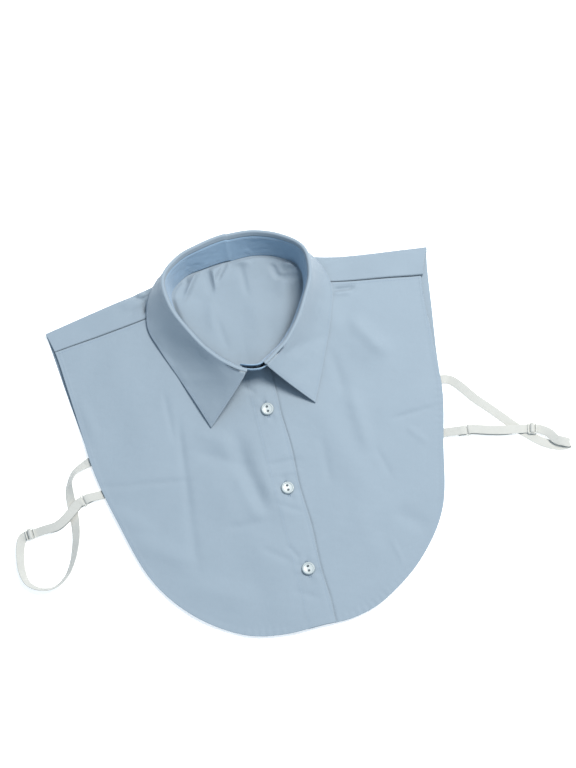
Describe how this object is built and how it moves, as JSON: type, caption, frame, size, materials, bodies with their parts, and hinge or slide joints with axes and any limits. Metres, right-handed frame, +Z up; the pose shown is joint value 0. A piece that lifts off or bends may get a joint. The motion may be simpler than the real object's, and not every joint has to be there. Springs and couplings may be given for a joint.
{
  "type": "bib collar",
  "caption": "Shirt collar on a short buttoned bib with a back panel and adjustable elastic side straps, worn under knitwear to look like a whole shirt.",
  "frame": {"origin": "on the level underside of the back panel, on the centre line across the chest, 130.6 mm below the shoulder corners", "axes": "+X across the chest towards the viewer's right, +Y from the hem towards the collar, +Z up, away from the surface it lies on"},
  "size_m": [0.4936, 0.3658, 0.0432],
  "materials": {
    "cotton": "pale blue woven cotton, matte",
    "collar_cotton": "pale blue woven cotton, interlined, matte",
    "button": "white, glossy",
    "elastic": "off-white woven elastic",
    "clear_plastic": "off-white, smooth"
  },
  "bodies": {
    "root": {"back_panel": "cotton", "front_panel_over": "cotton", "front_panel_under": "cotton", "collar_band": "collar_cotton", "collar_leaf": "collar_cotton", "band_stud": "button", "placket_button_1": "button", "placket_button_2": "button", "placket_button_3": "button", "tab_left": "elastic", "tab_right": "elastic", "tape_left": "elastic", "tape_right": "elastic", "ring_left": "clear_plastic", "ring_right": "clear_plastic", "slider_left": "clear_plastic", "slider_right": "clear_plastic"}
  },
  "joints": []
}
